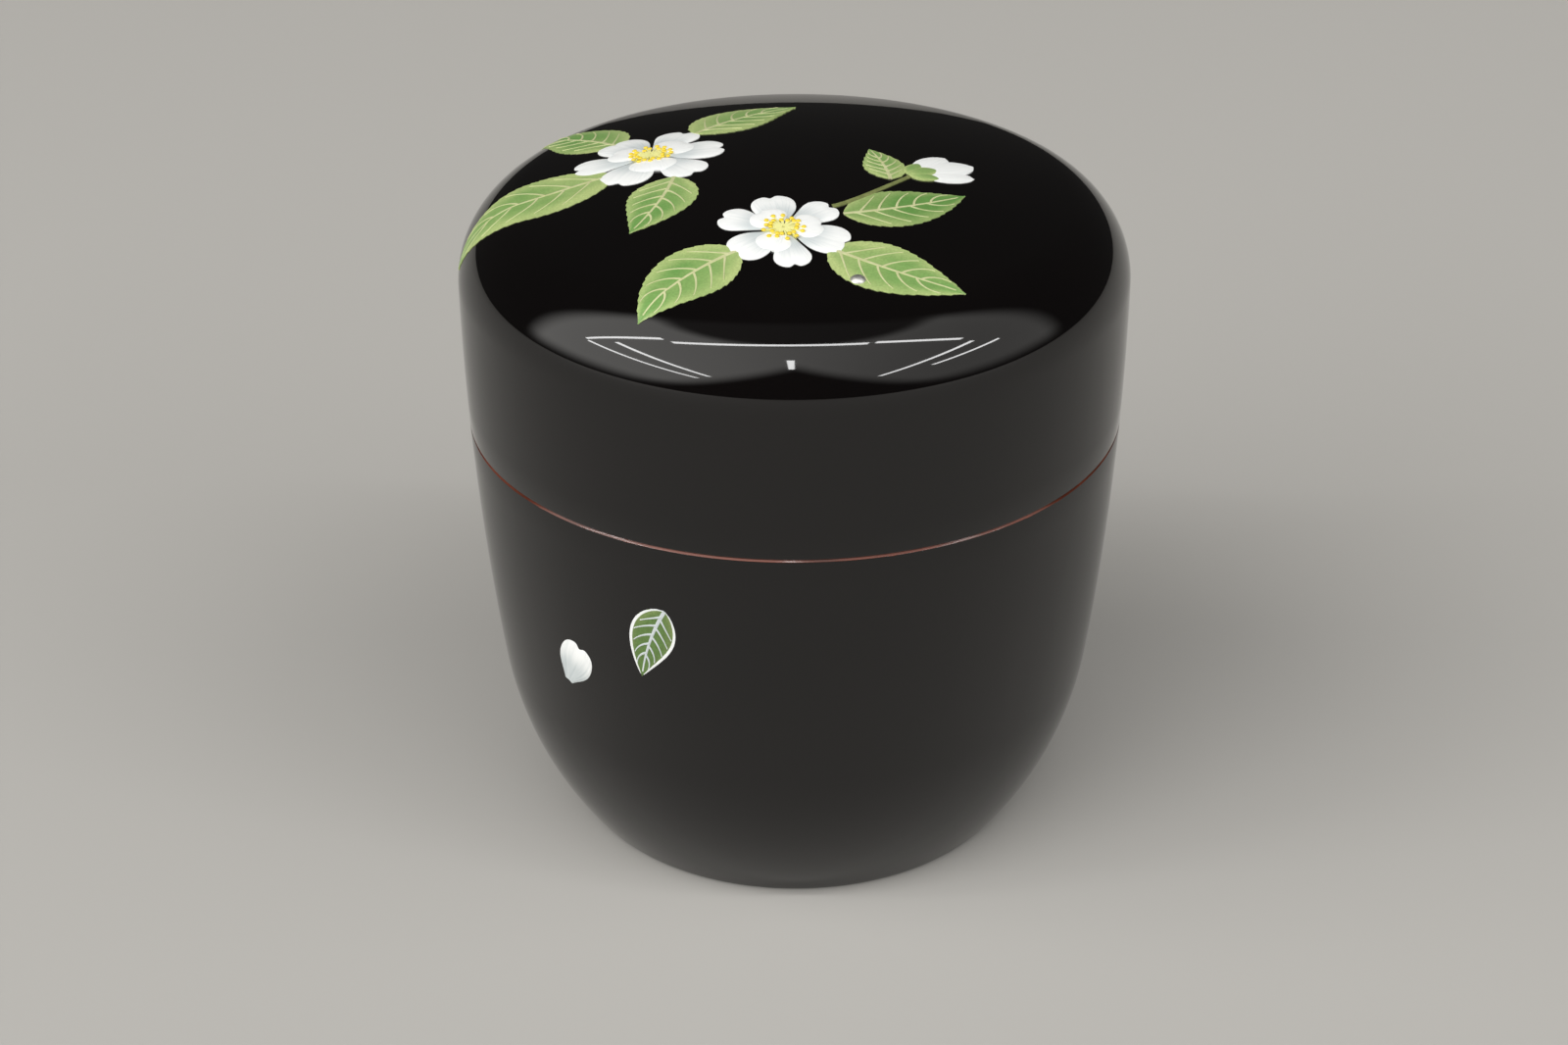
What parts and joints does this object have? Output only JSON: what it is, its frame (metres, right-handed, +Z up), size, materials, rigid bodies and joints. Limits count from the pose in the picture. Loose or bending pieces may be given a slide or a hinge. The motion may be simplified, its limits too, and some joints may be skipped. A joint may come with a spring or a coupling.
{
  "type": "natsume tea caddy",
  "caption": "Round lacquered caddy for powdered tea, with a domed lid that lifts off over a standing rim.",
  "frame": {"origin": "middle of the base, on the surface that the caddy stands on", "axes": "+Z up along the turning axis of body and lid, -Y towards the front of the painted design"},
  "size_m": [0.066, 0.066, 0.0698],
  "materials": {
    "body_lacquer": "black lacquer over turned wood, polished to a mirror gloss",
    "lid_lacquer": "black lacquer over turned wood, polished to a mirror gloss",
    "silver": "polished silver"
  },
  "bodies": {
    "body": {"body": "body_lacquer"},
    "lid": {"lid": "lid_lacquer", "dew_bead": "silver"}
  },
  "joints": [
    {"name": "lid_lift", "type": "slide", "parent": "body", "child": "lid", "axis": [0, 0, 1], "range_m": [0, 0.06]}
  ]
}
